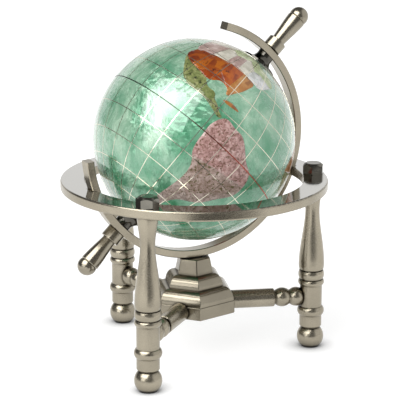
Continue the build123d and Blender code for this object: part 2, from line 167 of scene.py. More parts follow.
# Each landmass is cut into stones: every stone covers what lies nearest to its centre
STONE_CENTRES = {
    "united_states": [
        (-116, 33, "fire_jasper"), (-103, 33, "fire_jasper"), (-90, 35, "amber_jasper"),
        (-80, 34, "honey_jasper"), (-97, 25, "amber_jasper"),
    ],
    "mexico": [
        (-114, 22, "leaf_stone"), (-103, 18, "leaf_stone"), (-94, 15, "moss_stone"),
        (-84, 11, "leaf_stone"),
    ],
    "canada": [
        (-118, 46, "rose_quartz"), (-106, 48, "shell_marble"), (-96, 49, "rose_quartz"),
        (-86, 50, "shell_marble"), (-76, 45, "lilac_quartz"), (-66, 46, "lilac_quartz"),
        (-78, 58, "pale_leaf"), (-64, 54, "pale_leaf"), (-100, 62, "pale_leaf"),
        (-125, 62, "shell_marble"), (-152, 65, "honey_jasper"),
    ],
    "greenland": [(-45, 68, "shell_marble"), (-40, 78, "pale_leaf")],
    "south_america": [
        (-62, -2, "rose_granite"), (-58, -26, "dusk_granite"), (-68, -44, "grey_granite"),
    ],
    "africa": [
        (-8, 24, "honey_jasper"), (5, 28, "rose_granite"), (18, 25, "shell_marble"),
        (31, 24, "amber_jasper"), (-5, 12, "leaf_stone"), (9, 12, "brick_jasper"),
        (20, 12, "lilac_quartz"), (32, 12, "grey_granite"), (44, 6, "fire_jasper"),
        (14, 2, "moss_stone"), (25, -2, "honey_jasper"), (37, -5, "rose_quartz"),
        (16, -13, "dusk_granite"), (28, -14, "shell_marble"), (36, -16, "leaf_stone"),
        (24, -28, "brick_jasper"),
    ],
    "europe": [
        (-5, 40, "brick_jasper"), (2, 47, "lilac_quartz"), (10, 50, "honey_jasper"),
        (14, 42, "leaf_stone"), (20, 51, "rose_quartz"), (24, 44, "shell_marble"),
        (16, 64, "grey_granite"), (28, 65, "pale_leaf"), (31, 50, "amber_jasper"),
        (45, 58, "rose_granite"),
    ],
    "asia": [
        (70, 62, "rose_granite"), (100, 63, "rose_granite"), (130, 64, "rose_granite"),
        (160, 65, "rose_granite"), (68, 48, "pale_leaf"), (104, 46, "amber_jasper"),
        (85, 40, "brick_jasper"), (103, 33, "honey_jasper"), (118, 31, "honey_jasper"),
        (122, 46, "honey_jasper"), (77, 24, "leaf_stone"), (78, 14, "leaf_stone"),
        (66, 31, "lilac_quartz"), (54, 33, "moss_stone"), (45, 25, "shell_marble"),
        (42, 35, "grey_granite"), (33, 39, "rose_quartz"), (96, 20, "lilac_quartz"),
        (102, 15, "fire_jasper"), (107, 14, "moss_stone"), (127, 37, "shell_marble"),
    ],
    "australia": [
        (120, -26, "fire_jasper"), (133, -20, "honey_jasper"), (133, -30, "amber_jasper"),
        (145, -25, "brick_jasper"), (146, -35, "honey_jasper"),
    ],
    "antarctica": [
        (-120, -82, "shell_marble"), (0, -82, "shell_marble"), (120, -82, "shell_marble"),
    ],
    "cuba": [(-79, 18, "honey_jasper")],
    "madagascar": [(47, -20, "lilac_quartz")],
    "britain": [(-2, 54, "rose_quartz")],
    "iceland": [(-19, 65, "grey_granite")],
    "japan": [(138, 38, "rose_quartz")],
    "sumatra": [(103, -3, "moss_stone")],
    "borneo": [(114, 1, "moss_stone")],
    "philippines": [(123, 12, "brick_jasper")],
    "new_guinea": [(141, -5, "leaf_stone")],
    "new_zealand": [(173, -41, "lilac_quartz")],
}

# Stone recipes: dark, middle and light colour, speck colour, share of specks, and grain size in mm
STONES = {
    "fire_jasper": (
        (0.08, 0.009, 0.001), (0.17, 0.032, 0.001), (0.26, 0.07, 0.002), (0.045, 0.006, 0.001), 0.36, 9.0,
    ),
    "amber_jasper": (
        (0.1, 0.012, 0.001), (0.21, 0.036, 0.001), (0.29, 0.068, 0.001), (0.08, 0.012, 0.001), 0.26, 8.0,
    ),
    "honey_jasper": (
        (0.15, 0.05, 0.006), (0.24, 0.09, 0.014), (0.32, 0.16, 0.05), (0.1, 0.03, 0.004), 0.18, 8.0,
    ),
    "brick_jasper": (
        (0.2, 0.03, 0.02), (0.35, 0.07, 0.04), (0.46, 0.13, 0.08), (0.08, 0.01, 0.01), 0.2, 7.0,
    ),
    "leaf_stone": (
        (0.06, 0.075, 0.02), (0.12, 0.14, 0.045), (0.21, 0.21, 0.09), (0.01, 0.014, 0.004), 0.42, 3.4,
    ),
    "moss_stone": (
        (0.05, 0.065, 0.015), (0.1, 0.125, 0.035), (0.17, 0.19, 0.075), (0.01, 0.014, 0.004), 0.38, 3.4,
    ),
    "pale_leaf": (
        (0.17, 0.22, 0.1), (0.27, 0.32, 0.17), (0.38, 0.42, 0.27), (0.1, 0.13, 0.05), 0.24, 5.0,
    ),
    "rose_granite": (
        (0.14, 0.07, 0.06), (0.27, 0.155, 0.14), (0.39, 0.28, 0.26), (0.09, 0.045, 0.025), 0.48, 2.6,
    ),
    "grey_granite": (
        (0.16, 0.115, 0.09), (0.25, 0.19, 0.165), (0.37, 0.31, 0.28), (0.08, 0.06, 0.035), 0.46, 2.4,
    ),
    "dusk_granite": (
        (0.14, 0.095, 0.07), (0.23, 0.165, 0.14), (0.34, 0.27, 0.24), (0.07, 0.055, 0.02), 0.5, 3.0,
    ),
    "rose_quartz": (
        (0.2, 0.13, 0.115), (0.29, 0.21, 0.185), (0.39, 0.31, 0.28), (0.24, 0.09, 0.1), 0.18, 6.0,
    ),
    "lilac_quartz": (
        (0.23, 0.24, 0.23), (0.34, 0.35, 0.33), (0.46, 0.46, 0.47), (0.22, 0.3, 0.24), 0.16, 7.0,
    ),
    "shell_marble": (
        (0.27, 0.26, 0.21), (0.38, 0.36, 0.3), (0.5, 0.48, 0.42), (0.22, 0.24, 0.16), 0.18, 7.0,
    ),
}


# -------- settings


class GlobeBallSettings(bpy.types.PropertyGroup):
    """Sizes and colours of the mosaic on the ball."""

    ocean_dark: FloatVectorProperty(
        name="Deep pearl", description="Darkest tint of the ocean shell", subtype="COLOR",
        default=(0.012, 0.180, 0.075), min=0, max=1,
    )
    ocean_middle: FloatVectorProperty(
        name="Sea pearl", description="Middle tint of the ocean shell", subtype="COLOR",
        default=(0.100, 0.255, 0.155), min=0, max=1,
    )
    ocean_light: FloatVectorProperty(
        name="Pale pearl", description="Lightest tint of the ocean shell", subtype="COLOR",
        default=(0.285, 0.425, 0.310), min=0, max=1,
    )
    wire_colour: FloatVectorProperty(
        name="Wire", description="Metal of the graticule wires", subtype="COLOR",
        default=(0.80, 0.76, 0.62), min=0, max=1,
    )
    equator_colour: FloatVectorProperty(
        name="Equator", description="Enamel of the equator wire", subtype="COLOR",
        default=(0.36, 0.075, 0.050), min=0, max=1,
    )
    equator_dark: FloatVectorProperty(
        name="Far equator", description="Dark enamel of the equator wire's far side", subtype="COLOR",
        default=(0.045, 0.060, 0.045), min=0, max=1,
    )
    wire_width: FloatProperty(
        name="Wire width", description="Width of a graticule wire", subtype="DISTANCE", unit="LENGTH",
        default=0.5 * MM, min=0.1 * MM, max=2 * MM,
    )
    equator_width: FloatProperty(
        name="Equator width", description="Width of the equator wire", subtype="DISTANCE", unit="LENGTH",
        default=0.75 * MM, min=0.1 * MM, max=2 * MM,
    )
    wire_shift: FloatProperty(
        name="Graticule shift", description="Degrees that the hand-laid parallels sit to the south",
        default=2.7, min=-5, max=5,
    )
    wire_step: IntProperty(
        name="Graticule step", description="Degrees between two wires", default=15, min=5, max=45,
    )
    stone_proud: FloatProperty(
        name="Stone height", description="How far the land stands above the ocean", subtype="DISTANCE",
        unit="LENGTH", default=0.06 * MM, min=0.02 * MM, max=0.5 * MM,
    )
    stone_depth: FloatProperty(
        name="Stone depth", description="Thickness of the land stones", subtype="DISTANCE", unit="LENGTH",
        default=0.9 * MM, min=0.2 * MM, max=2 * MM,
    )


class GlobeMetalSettings(bpy.types.PropertyGroup):
    """Colours and polish of the plated metals."""

    satin_colour: FloatVectorProperty(
        name="Satin nickel", description="Colour of the brushed plate", subtype="COLOR",
        default=(0.345, 0.310, 0.240), min=0, max=1,
    )
    bright_colour: FloatVectorProperty(
        name="Bright nickel", description="Colour of the polished plate", subtype="COLOR",
        default=(0.33, 0.31, 0.26), min=0, max=1,
    )
    polish_colour: FloatVectorProperty(
        name="Ring polish", description="Colour of the ring's polished top", subtype="COLOR",
        default=(0.50, 0.49, 0.46), min=0, max=1,
    )
    black_colour: FloatVectorProperty(
        name="Black nickel", description="Colour of the dark polished plate", subtype="COLOR",
        default=(0.19, 0.18, 0.155), min=0, max=1,
    )
    grip_colour: FloatVectorProperty(
        name="Grip nickel", description="Colour of the pole grips and collars", subtype="COLOR",
        default=(0.31, 0.28, 0.22), min=0, max=1,
    )
    grip_roughness: FloatProperty(
        name="Grip roughness", description="How soft the pole grips look", subtype="FACTOR",
        default=0.19, min=0, max=1,
    )
    satin_roughness: FloatProperty(
        name="Satin roughness", description="How soft the brushed plate looks", subtype="FACTOR",
        default=0.25, min=0, max=1,
    )
    bright_roughness: FloatProperty(
        name="Polish roughness", description="How soft the polished plate looks", subtype="FACTOR",
        default=0.09, min=0, max=1,
    )


class GlobeStageSettings(bpy.types.PropertyGroup):
    """Camera and studio light."""

    azimuth: FloatProperty(
        name="Azimuth", description="Camera angle round the globe; 0 looks along +Y", subtype="ANGLE",
        default=radians(-27.84),
    )
    elevation: FloatProperty(
        name="Elevation", description="Camera angle above the horizon", subtype="ANGLE",
        default=radians(13.14),
    )
    distance: FloatProperty(
        name="Distance", description="Camera to the globe's centre", subtype="DISTANCE", unit="LENGTH",
        default=1.3656, min=0.3, max=10,
    )
    lens: FloatProperty(
        name="Lens", description="Focal length in millimetres", default=165.06, min=20, max=400,
    )
    key_power: FloatProperty(
        name="Key light", description="Power of the key softbox in watts", default=20.0, min=0,
    )
    fill_power: FloatProperty(
        name="Fill lights", description="Power of each soft fill light in watts", default=4.5, min=0,
    )
    room_light: FloatProperty(name="Room", description="Brightness of the room", default=1.0, min=0)


# -------- finishes


class Finish:
    """A material's node tree, built one node at a time."""

    def __init__(self, name, **constants):
        self.material = bpy.data.materials.new(name)
        self.material.use_nodes = True
        self.tree = self.material.node_tree
        self.shader = self.tree.nodes["Principled BSDF"]
        for socket, value in constants.items():
            label = socket.replace("_", " ").title().replace("Ior", "IOR")
            self.shader.inputs[label].default_value = value

    def node(self, kind, inputs, **settings):
        """Add a node, with its settings and with what goes into its sockets."""
        made = self.tree.nodes.new(kind)
        for key, value in settings.items():
            setattr(made, key, value)
        for socket, value in inputs.items():
            self.feed(made.inputs[socket], value)
        return made

    def feed(self, socket, value):
        """Link a socket to another node's output, or give it a constant."""
        if isinstance(value, bpy.types.NodeSocket):
            self.tree.links.new(value, socket)
        else:
            socket.default_value = value

    def shade(self, **inputs):
        """Feed sockets of the surface shader."""
        for socket, value in inputs.items():
            self.feed(self.shader.inputs[socket.replace("_", " ").title()], value)

    def vector(self, operation, first, second):
        """A vector sum; for SCALE the second is a number."""
        other = "Scale" if operation == "SCALE" else 1
        return self.node("ShaderNodeVectorMath", {0: first, other: second}, operation=operation).outputs[0]

    def length(self, vector):
        return self.node("ShaderNodeVectorMath", {0: vector}, operation="LENGTH").outputs["Value"]

    def along(self, vector, axis):
        return self.node("ShaderNodeSeparateXYZ", {"Vector": vector}).outputs[axis]

    def place(self, centre=(0, 0, 0), stretch=(1, 1, 1)):
        """Object coordinates about a centre, stretched, in metres."""
        here = self.node("ShaderNodeTexCoord", {}).outputs["Object"]
        shifted = self.vector("SUBTRACT", here, Vector(centre))
        return self.node("ShaderNodeMapping", {"Vector": shifted, "Scale": stretch}).outputs["Vector"]

    def noise(self, vector, size, detail=3.0, rough=0.5, distortion=0.0):
        """Cloudy noise whose features are about size millimetres across."""
        inputs = {"Vector": vector, "Scale": 1 / (size * MM), "Detail": detail, "Roughness": rough}
        return self.node("ShaderNodeTexNoise", {**inputs, "Distortion": distortion})

    def cells(self, vector, size):
        """Random colours in cells about size millimetres across."""
        made = self.node("ShaderNodeTexVoronoi", {"Vector": vector, "Scale": 1 / (size * MM)})
        return made.outputs["Color"]

    def ramp(self, factor, stops):
        """A colour ramp with stops of (position, colour or grey level)."""
        made = self.node("ShaderNodeValToRGB", {"Fac": factor})
        elements = made.color_ramp.elements
        while len(elements) < len(stops):
            elements.new(0.5)
        for element, (position, colour) in zip(elements, stops):
            element.position = position
            element.color = (colour,) * 3 + (1.0,) if isinstance(colour, float) else (*colour, 1.0)
        return made.outputs["Color"]

    def mix(self, factor, first, second, blend="MIX"):
        made = self.node("ShaderNodeMix", {}, data_type="RGBA", blend_type=blend)
        self.feed(made.inputs[0], factor)
        self.feed(made.inputs[6], first if isinstance(first, bpy.types.NodeSocket) else (*first, 1.0))
        self.feed(made.inputs[7], second if isinstance(second, bpy.types.NodeSocket) else (*second, 1.0))
        return made.outputs[2]

    def math(self, operation, *values):
        return self.node("ShaderNodeMath", dict(enumerate(values)), operation=operation).outputs[0]

    def bump(self, height, strength, depth):
        """A bump whose full height is depth millimetres."""
        return self.node(
            "ShaderNodeBump", {"Height": height, "Strength": strength, "Distance": depth * MM}
        ).outputs["Normal"]


def warped(finish, vector, size, amount):
    """Coordinates bent by slow noise, by up to an amount in millimetres."""
    swirl = finish.noise(vector, size, detail=2.0).outputs["Color"]
    centred = finish.vector("SUBTRACT", swirl, (0.5, 0.5, 0.5))
    return finish.vector("ADD", vector, finish.vector("SCALE", centred, 2 * amount * MM))


def tilt(finish, normal, random, amount):
    """A normal leant over by a random colour, so that flakes catch the light one by one."""
    lean = finish.vector("SCALE", finish.vector("SUBTRACT", random, (0.5, 0.5, 0.5)), amount)
    leant = finish.vector("ADD", normal, lean)
    return finish.node("ShaderNodeVectorMath", {0: leant}, operation="NORMALIZE").outputs[0]


def ocean_pearl(ball):
    """Sea-green mother of pearl: streaky shell with soft patches under a clear lacquer, and painted light
    that makes the top of the ball paler.
    """
    finish = Finish("ocean_pearl", metallic=0.30, coat_weight=1.0, coat_roughness=0.05)
    place = warped(finish, finish.place(BALL_CENTRE), size=60, amount=22)
    grain = {"Vector": place, "Scale": (1.0, 1.9, 0.65), "Rotation": (0.3, 0.5, 0.2)}
    grain = finish.node("ShaderNodeMapping", grain).outputs[0]
    streaks = finish.noise(grain, size=7, detail=5.0, rough=0.6).outputs["Fac"]
    patches = finish.noise(place, size=34, detail=2.0, distortion=0.8).outputs["Fac"]
    chips = finish.cells(place, size=13)
    chip_tone = finish.node("ShaderNodeSeparateColor", {"Color": chips}).outputs[0]
    # painted light: the tone rises with height, so the top of the ball is paler
    height = finish.along(finish.place(BALL_CENTRE), "Z")
    tone = finish.math("MULTIPLY_ADD", height, 0.07 / BALL_RADIUS, 0.02)
    for part, share in ((patches, 0.64), (streaks, 0.30), (chip_tone, 0.06)):
        tone = finish.math("MULTIPLY_ADD", part, share, tone)
    colour = finish.ramp(
        tone, [(0.33, ball.ocean_dark), (0.51, ball.ocean_middle), (0.70, ball.ocean_light)]
    )
    roughness = finish.ramp(streaks, [(0.3, 0.16), (0.7, 0.36)])
    flakes = finish.cells(place, size=2.0)
    tilted = tilt(finish, finish.bump(streaks, 0.35, 0.4), flakes, 0.30)
    finish.shade(base_color=colour, roughness=roughness, normal=tilted)
    return finish.material


def land_stone(name):
    """A polished stone: cloudy body, mineral grains and dark specks under a clear lacquer."""
    dark, middle, light, speck, share, grain = STONES[name]
    finish = Finish(name, coat_weight=0.6, coat_roughness=0.05, specular_ior_level=0.2)
    place = finish.place(BALL_CENTRE)
    body = finish.noise(place, size=grain * 1.8, detail=5.0, rough=0.65, distortion=0.6).outputs["Fac"]
    grains = finish.cells(place, size=grain * 0.6)
    grain_tone = finish.node("ShaderNodeSeparateColor", {"Color": grains}).outputs[0]
    tone = finish.math("MULTIPLY_ADD", body, 0.75, finish.math("MULTIPLY", grain_tone, 0.25))
    colour = finish.ramp(tone, [(0.32, dark), (0.50, middle), (0.70, light)])
    spots = finish.noise(place, size=grain * 0.7, detail=3.0, rough=0.7).outputs["Fac"]
    edge = 0.72 - share * 0.35
    mask = finish.ramp(spots, [(edge, 0.0), (edge + 0.06, 1.0)])
    finish.shade(
        base_color=finish.mix(mask, colour, speck),
        roughness=finish.ramp(body, [(0.3, 0.30), (0.7, 0.45)]),
        normal=finish.bump(body, 0.2, 0.2),
    )
    return finish.material


def wire_metal(name, colour, roughness, far_colour=None):
    """Thin drawn wire, polished flush with the mosaic; a far colour takes over towards -X."""
    finish = Finish(name, metallic=1.0)
    place = finish.place(BALL_CENTRE)
    worn = finish.noise(place, size=5, detail=2.0).outputs["Fac"]
    tone = finish.ramp(worn, [(0.3, [part * 0.75 for part in colour]), (0.7, colour)])
    if far_colour is not None:
        share = finish.math("MULTIPLY_ADD", finish.along(place, "X"), 0.5 / BALL_RADIUS, 0.5)
        tone = finish.mix(finish.ramp(share, [(0.26, 0.0), (0.42, 1.0)]), far_colour, tone)
    finish.shade(
        base_color=tone,
        roughness=finish.ramp(worn, [(0.3, roughness), (0.7, roughness + 0.12)]),
    )
    return finish.material


def brushed_lines(finish, stretch, size=0.6):
    """Fine brushing: noise drawn out along the direction with the least stretch."""
    place = finish.place(stretch=stretch)
    return finish.noise(place, size=size, detail=3.0, rough=0.65).outputs["Fac"]


def painted_groove_shade(finish, colour, reach=3.0):
    """Darken a plated metal in its grooves and corners by how enclosed each point is: painted shade."""
    # how enclosed each point is sets where the painted shade falls; the dark colour is the painted shade
    shelter = finish.node("ShaderNodeAmbientOcclusion", {"Distance": reach * MM}, samples=8).outputs["AO"]
    unshaded = finish.ramp(shelter, [(0.50, 0.0), (0.94, 1.0)])
    return finish.mix(unshaded, (0.035, 0.028, 0.018), colour)


def satin_nickel(name, metal, stretch, polished_above=None, tint=1.0, polish=0.0):
    """Satin nickel plate with fine brushing, and a mirror polish above a height if one is given; without
    one, painted shade darkens its grooves and corners.
    """
    finish = Finish(name, metallic=1.0)
    lines = brushed_lines(finish, stretch)
    tarnish = finish.noise(finish.place(), size=26, detail=3.0).outputs["Fac"]
    plate = [part * tint for part in metal.satin_colour]
    colour = finish.ramp(tarnish, [(0.35, [part * 0.84 for part in plate]), (0.65, plate)])
    rough = metal.satin_roughness - polish
    rough = finish.ramp(lines, [(0.25, rough - 0.06), (0.75, rough + 0.08)])
    if polished_above is not None:
        height = finish.along(finish.place(), "Z")
        top = finish.math("GREATER_THAN", height, polished_above)
        rough = finish.mix(top, rough, (metal.bright_roughness,) * 3)
        colour = finish.mix(top, colour, tuple(metal.polish_colour))
        lines = finish.math("MULTIPLY", lines, finish.math("SUBTRACT", 1.0, top))
    else:
        # painted shade in the grooves and corners
        colour = painted_groove_shade(finish, colour)
    finish.shade(base_color=colour, roughness=rough, normal=finish.bump(lines, 0.35, 0.03))
    return finish.material


def arc_nickel(metal):
    """Satin nickel along the arc, with its inner face polished."""
    finish = Finish("arc_nickel", metallic=1.0)
    around = finish.place(BALL_CENTRE, (1, 0, 1))
    radius = finish.length(around)
    inner = finish.math("LESS_THAN", radius, ARC_INNER_RADIUS + 0.05 * MM)
    outwards = finish.node("ShaderNodeCombineXYZ", {"X": radius}).outputs[0]
    lines = finish.noise(outwards, size=0.35, detail=3.0).outputs["Fac"]
    tarnish = finish.noise(finish.place(), size=20, detail=3.0).outputs["Fac"]
    shade = [part * 0.84 for part in metal.satin_colour]
    colour = finish.ramp(tarnish, [(0.35, shade), (0.65, metal.satin_colour)])
    rough = finish.ramp(lines, [(0.25, metal.satin_roughness - 0.06), (0.75, metal.satin_roughness + 0.06)])
    finish.shade(
        base_color=finish.mix(inner, colour, tuple(metal.bright_colour)),
        roughness=finish.mix(inner, rough, (metal.bright_roughness + 0.03,) * 3),
        normal=finish.bump(lines, 0.15, 0.02),
    )
    return finish.material


def polished_plate(name, colour, roughness, smudge=0.08):
    """Polished plate with faint smudges and fine polishing marks."""
    finish = Finish(name, metallic=1.0)
    place = finish.place()
    smudges = finish.noise(place, size=9, detail=4.0, rough=0.6).outputs["Fac"]
    marks = finish.noise(place, size=0.5, detail=2.0).outputs["Fac"]
    finish.shade(
        base_color=finish.ramp(smudges, [(0.3, [part * 0.8 for part in colour]), (0.7, colour)]),
        roughness=finish.ramp(smudges, [(0.35, roughness), (0.7, roughness + smudge)]),
        normal=finish.bump(marks, 0.05, 0.01),
    )
    return finish.material


def turned_metal(name, colour, roughness):
    """Plain turned metal with thread-like lathe marks."""
    finish = Finish(name, metallic=1.0)
    marks = brushed_lines(finish, (0.3, 0.3, 3.0), size=0.8)
    finish.shade(
        base_color=finish.ramp(marks, [(0.3, [part * 0.7 for part in colour]), (0.7, colour)]),
        roughness=finish.ramp(marks, [(0.3, roughness), (0.7, roughness + 0.15)]),
        normal=finish.bump(marks, 0.4, 0.05),
    )
    return finish.material


def soft_matter(name, dark, light, size, roughness, depth):
    """Matte rubber, felt or resin with a fine grain."""
    finish = Finish(name)
    grain = finish.noise(finish.place(), size=size, detail=4.0, rough=0.7).outputs["Fac"]
    finish.shade(
        base_color=finish.ramp(grain, [(0.3, dark), (0.7, light)]),
        roughness=finish.ramp(grain, [(0.3, roughness - 0.08), (0.7, roughness)]),
        normal=finish.bump(grain, 0.6, depth),
    )
    return finish.material


# -------- mesh making


def pole_turn():
    """Turns a shape made about +Z so that its axis is the pole axis, at the globe's centre."""
    upright = Vector((0, -1, 0)).cross(POLE_AXIS)
    first = -upright if upright.z < 0 else upright
    second = POLE_AXIS.cross(first)
    turn = Matrix((first, second, POLE_AXIS)).transposed().to_4x4()
    return Matrix.Translation(BALL_CENTRE) @ turn


def finish_piece(name, mesh, body, *materials, smooth=True):
    """Make an object of a bmesh, with its materials, riding on a body."""
    data = bpy.data.meshes.new(name)
    mesh.to_mesh(data)
    mesh.free()
    for material in materials:
        data.materials.append(material)
    if smooth:
        data.shade_smooth()
    piece = bpy.data.objects.new(name, data)
    bpy.context.scene.collection.objects.link(piece)
    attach(piece, body)
    return piece


def dress(material, *nodes):
    """Give CAD nodes a finish."""
    for name in nodes:
        data = frame["nodes"][name].data
        data.materials.clear()
        data.materials.append(material)


def cut_plane(mesh, point, normal, keep_below=True):
    """Cut a mesh on a plane, and drop what lies beyond it unless told not to."""
    geometry = mesh.verts[:] + mesh.edges[:] + mesh.faces[:]
    bmesh.ops.bisect_plane(
        mesh, geom=geometry, dist=1e-7, plane_co=point, plane_no=normal, clear_outer=keep_below
    )


def add_to(whole, part):
    """Add one bmesh to another and free it."""
    data = bpy.data.meshes.new("part")
    part.to_mesh(data)
    part.free()
    whole.from_mesh(data)
    bpy.data.meshes.remove(data)


def rounded(outline):
    """Cut every corner of a closed outline, twice."""
    points = [Vector((lon, lat, 0)) for lon, lat in outline]
    for _ in range(2):
        pairs = list(zip(points, points[1:] + points[:1]))
        points = [start.lerp(end, part) for start, end in pairs for part in (0.25, 0.75)]
    return points


def stone_patch(outline, centre, others):
    """One stone of a landmass, flat on the (longitude, latitude) plane: what lies nearest its centre."""
    mesh = bmesh.new()
    mesh.faces.new([mesh.verts.new(point) for point in rounded(outline)])
    bmesh.ops.triangulate(mesh, faces=mesh.faces[:])
    here = Vector((centre[0], centre[1], 0))
    for other in others:
        there = Vector((other[0], other[1], 0))
        cut_plane(mesh, (here + there) / 2, there - here)
    return mesh


def grid_cuts(mesh, step):
    """Cut a flat patch on even lines of longitude and latitude, so that it can bend over the ball."""
    for axis in (0, 1):
        if not mesh.verts:
            return
        low = min(vert.co[axis] for vert in mesh.verts)
        high = max(vert.co[axis] for vert in mesh.verts)
        normal = Vector((1, 0, 0)) if axis == 0 else Vector((0, 1, 0))
        line = (low // step + 1) * step
        while line < high:
            cut_plane(mesh, normal * line, normal, keep_below=False)
            line += step


def on_ball(lon, lat, radius):
    """A point on the ball made about +Z, with the rest position's longitude."""
    turn, rise = radians(lon - TOP_LONGITUDE), radians(lat)
    return Vector((cos(rise) * cos(turn), cos(rise) * sin(turn), sin(rise))) * radius


# -------- operators


class GLOBE_OT_ocean(bpy.types.Operator):
    """Make the ocean, a ball of pearl shell"""

    bl_idname = "globe.ocean"
    bl_label = "Ocean"

    def execute(self, context):
        mesh = bmesh.new()
        bmesh.ops.create_icosphere(mesh, subdivisions=7, radius=BALL_RADIUS)
        bmesh.ops.transform(mesh, matrix=pole_turn(), verts=mesh.verts)
        piece = finish_piece("ocean_ball", mesh, "globe", ocean_pearl(context.scene.globe_ball))
        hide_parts("stone_skin")
        return {"FINISHED"}


class GLOBE_OT_land(bpy.types.Operator):
    """Make the land, cut stones set in the ocean"""

    bl_idname = "globe.land"
    bl_label = "Land"

    def execute(self, context):
        ball = context.scene.globe_ball
        materials = {name: land_stone(name) for name in STONES}
        dict.fromkeys(("leaf", "stone"), "olive_stone")
        for land, outline in LAND.items():
            centres = STONE_CENTRES[land]
            used = sorted({stone for _, _, stone in centres})
            whole = bmesh.new()
            for centre in centres:
                patch = stone_patch(outline, centre, [other for other in centres if other is not centre])
                grid_cuts(patch, BEND_STEP)
                self.set_in_ball(patch, whole, used.index(centre[2]), ball)
            bmesh.ops.transform(whole, matrix=pole_turn(), verts=whole.verts)
            cut = [materials[stone] for stone in used]
            piece = finish_piece(f"land_{land}", whole, "globe", *cut, smooth=False)
        return {"FINISHED"}

    def set_in_ball(self, patch, whole, material, ball):
        """Bend a flat patch over the ball, give it its thickness and add it to the landmass."""
        top = BALL_RADIUS + ball.stone_proud
        for vert in patch.verts:
            vert.co = on_ball(vert.co.x, vert.co.y, top)
        bmesh.ops.remove_doubles(patch, verts=patch.verts[:], dist=0.01 * MM)
        bmesh.ops.triangulate(patch, faces=patch.faces[:])
        bmesh.ops.recalc_face_normals(patch, faces=patch.faces[:])
        for face in patch.faces:
            if face.normal.dot(face.calc_center_median()) < 0:
                face.normal_flip()
            face.smooth = True
            face.material_index = material
        shell = bmesh.ops.extrude_face_region(patch, geom=patch.faces[:], use_keep_orig=True)
        lower = {item for item in shell["geom"] if isinstance(item, bmesh.types.BMVert)}
        bmesh.ops.scale(patch, verts=list(lower), vec=Vector((1, 1, 1)) * ((top - ball.stone_depth) / top))
        under = [face for face in patch.faces if all(vert in lower for vert in face.verts)]
        bmesh.ops.reverse_faces(patch, faces=under)
        for face in patch.faces:
            face.material_index = material
        add_to(whole, patch)


class GLOBE_OT_wires(bpy.types.Operator):
    """Lay the graticule wires over the mosaic"""

    bl_idname = "globe.wires"
    bl_label = "Graticule wires"

    def execute(self, context):
        ball = context.scene.globe_ball
        net = bmesh.new()
        for lat in range(ball.wire_step - 90, 90, ball.wire_step):
            if lat:
                add_to(net, self.parallel(lat - ball.wire_shift, ball.wire_width))
        for lon in range(0, 360, ball.wire_step):
            add_to(net, self.meridian(lon, ball.wire_width))
        bmesh.ops.transform(net, matrix=pole_turn(), verts=net.verts)
        bright = wire_metal("wire_nickel", tuple(ball.wire_colour), 0.12)
        wires = finish_piece("graticule_wires", net, "globe", bright)
        line = self.parallel(-ball.wire_shift, ball.equator_width)
        bmesh.ops.transform(line, matrix=pole_turn(), verts=line.verts)
        enamel = wire_metal("wire_enamel", tuple(ball.equator_colour), 0.25, tuple(ball.equator_dark))
        equator = finish_piece("equator_wire", line, "globe", enamel)
        return {"FINISHED"}

    def section(self, mesh, width, middle, along):
        """The flat cross-section of a wire whose top is flush with the mosaic."""
        out = middle.normalized()
        side = along.cross(out)
        low, high = out * (BALL_RADIUS - WIRE_BELOW), out * (BALL_RADIUS + WIRE_ABOVE)
        half = side * width / 2
        corners = (low - half, low + half, high + half, high - half)
        verts = [mesh.verts.new(corner) for corner in corners]
        edges = [mesh.edges.new(pair) for pair in zip(verts, verts[1:] + verts[:1])]
        return verts + edges

    def crease(self, mesh):
        """Keep the wire's long edges crisp, and face its sides outwards."""
        bmesh.ops.recalc_face_normals(mesh, faces=mesh.faces[:])
        for edge in mesh.edges:
            edge.smooth = edge.is_boundary or edge.calc_face_angle(0) < radians(40)
        return mesh

    def parallel(self, lat, width):
        """A closed ring of wire at one latitude."""
        mesh = bmesh.new()
        start = self.section(mesh, width, on_ball(TOP_LONGITUDE, lat, BALL_RADIUS), Vector((0, 1, 0)))
        bmesh.ops.spin(
            mesh, geom=start, axis=(0, 0, 1), cent=(0, 0, 0), angle=2 * pi, steps=WIRE_STEPS, use_merge=True
        )
        return self.crease(mesh)

    def meridian(self, lon, width):
        """A wire from near one pole to near the other, closed at both ends."""
        mesh = bmesh.new()
        reach = radians(90 - POLE_CLEAR)
        side = Vector((-sin(radians(lon)), cos(radians(lon)), 0))
        middle = on_ball(lon + TOP_LONGITUDE, POLE_CLEAR - 90, BALL_RADIUS)
        start = self.section(mesh, width, middle, side.cross(middle).normalized())
        swept = bmesh.ops.spin(
            mesh, geom=start, axis=-side, cent=(0, 0, 0), angle=2 * reach, steps=WIRE_STEPS // 2
        )
        for end in (start, swept["geom_last"]):
            mesh.faces.new([vert for vert in end if isinstance(vert, bmesh.types.BMVert)])
        return self.crease(mesh)


class GLOBE_OT_stand_finish(bpy.types.Operator):
    """Finish the stand in satin and black nickel"""

    bl_idname = "globe.stand_finish"
    bl_label = "Stand finish"

    def execute(self, context):
        metal = context.scene.globe_metal
        turned = satin_nickel("turned_nickel", metal, (0.5, 0.5, 4.0))
        drawn = satin_nickel("drawn_nickel", metal, (2.0, 2.0, 2.0), tint=0.78, polish=0.06)
        ring = satin_nickel("ring_nickel", metal, (0.3, 0.3, 4.0), polished_above=RING_TOP - 0.2 * MM)
        black = polished_plate("black_nickel", tuple(metal.black_colour), metal.bright_roughness)
        dress(ring, "horizon_ring")
        dress(drawn, "pedestal_slab", "pedestal_lower_tier", "pedestal_upper_tier", "pedestal_cap")
        for side in SIDES:
            pieces = ("leg_spindle", "leg_post", "ball_foot", "stretcher")
            dress(turned, *[f"{piece}_{side}" for piece in pieces])
            dress(black, f"ring_nut_{side}")
        return {"FINISHED"}


